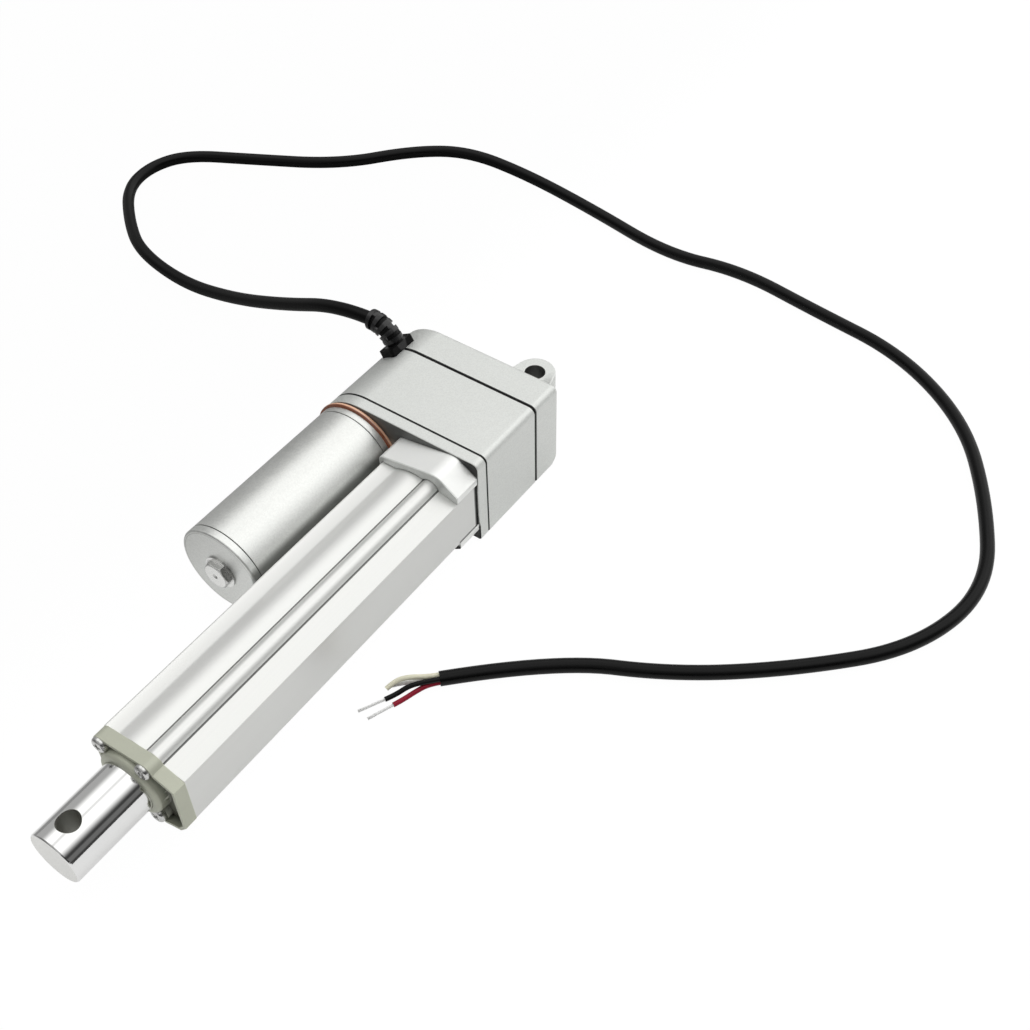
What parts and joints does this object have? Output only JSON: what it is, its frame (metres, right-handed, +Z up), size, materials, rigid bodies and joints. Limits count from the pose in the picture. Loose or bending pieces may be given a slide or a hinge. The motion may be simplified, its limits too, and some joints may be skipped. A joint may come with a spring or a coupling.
{
  "type": "electric linear actuator",
  "caption": "Electric linear actuator: a round motor beside an aluminium tube turns a lead screw through gears and slides a chrome rod, with a pivot hole at each end and a loose cable",
  "frame": {"origin": "centre of the rear pivot hole, halfway up the ear", "axes": "+X along the stroke towards the rod's tip, +Y from the motor towards the tube, +Z up along both pivot holes"},
  "size_m": [0.3891, 0.4388, 0.0497],
  "materials": {
    "cast_silver": "satin sprayed silver",
    "black_rubber": "matt black",
    "tube_aluminium": "satin anodised",
    "cap_grey": "satin greenish grey casting",
    "rod_chrome": "polished",
    "zinc_steel": "bright zinc",
    "motor_silver": "satin, finely speckled",
    "ring_orange": "satin orange brown",
    "magnet_grey": "matt ferrite",
    "black_plastic": "moulded",
    "carbon": "pressed carbon",
    "bronze": "sintered",
    "white_plastic": "machined",
    "gear_steel": "machined and oiled",
    "copper": "enamelled or turned copper",
    "board_green": "lacquered board",
    "cable_black": "soft gloss sheath",
    "wire_yellow": "pale yellow insulation",
    "wire_white": "white insulation",
    "wire_black": "black insulation",
    "wire_red": "dark red insulation",
    "tinned": "tinned strands"
  },
  "bodies": {
    "housing": {"rear_cover": "cast_silver", "rear_gasket": "black_rubber", "middle_housing": "cast_silver", "front_gasket": "black_rubber", "front_cover": "cast_silver", "housing_screws": "zinc_steel", "outer_tube": "tube_aluminium", "tube_seal": "black_rubber", "tube_screws": "zinc_steel", "front_cap": "cap_grey", "cap_screws": "zinc_steel", "rod_wiper": "black_rubber", "rod_guide_bush": "white_plastic", "motor_can": "motor_silver", "motor_end_cap": "motor_silver", "motor_end_plug": "zinc_steel", "motor_seal_ring": "ring_orange", "motor_front_bell": "motor_silver", "motor_screws": "zinc_steel", "motor_magnets": "magnet_grey", "brush_holder": "black_plastic", "brushes": "carbon", "motor_front_bush": "bronze", "motor_rear_bush": "bronze", "spindle_bearing_outer": "gear_steel", "spindle_bearing_balls": "gear_steel", "spindle_rear_bush": "bronze", "idler_pin": "gear_steel", "idler_spacer": "white_plastic", "limit_switch_board": "board_green", "limit_switches": "black_plastic", "strain_relief": "black_rubber", "cable": "cable_black", "wire_yellow": "wire_yellow", "wire_white": "wire_white", "wire_black": "wire_black", "wire_red": "wire_red", "wire_tips": "tinned"},
    "rod": {"rod": "rod_chrome", "drive_nut": "white_plastic"},
    "screw": {"lead_screw": "gear_steel", "spindle_gear": "gear_steel", "spindle_bearing_inner": "gear_steel", "spindle_clip": "zinc_steel"},
    "idler": {"idler_wheel": "gear_steel", "idler_pinion": "gear_steel"},
    "rotor": {"motor_shaft": "gear_steel", "armature_core": "gear_steel", "armature_windings": "copper", "commutator": "copper", "motor_pinion": "gear_steel"}
  },
  "joints": [
    {"name": "rod_slide", "type": "slide", "parent": "housing", "child": "rod", "axis": [1, 0, 0], "range_m": [0, 0.1]},
    {"name": "screw_spin", "type": "hinge", "parent": "housing", "child": "screw", "pos_m": [0.1, 0, 0], "axis": [-1, 0, 0], "range_deg": [0, 9000]},
    {"name": "idler_spin", "type": "hinge", "parent": "housing", "child": "idler", "pos_m": [0.04, -0.02, 0], "axis": [-1, 0, 0], "range_deg": [-21000, 0]},
    {"name": "motor_spin", "type": "hinge", "parent": "housing", "child": "rotor", "pos_m": [0.09, -0.036, 0], "axis": [-1, 0, 0], "range_deg": [0, 49000]}
  ],
  "couplings": [
    {"joint": "screw_spin", "follows": "rod_slide", "rad_per_m": 1570.8},
    {"joint": "idler_spin", "follows": "rod_slide", "rad_per_m": -3665.2},
    {"joint": "motor_spin", "follows": "rod_slide", "rad_per_m": 8552.1}
  ]
}
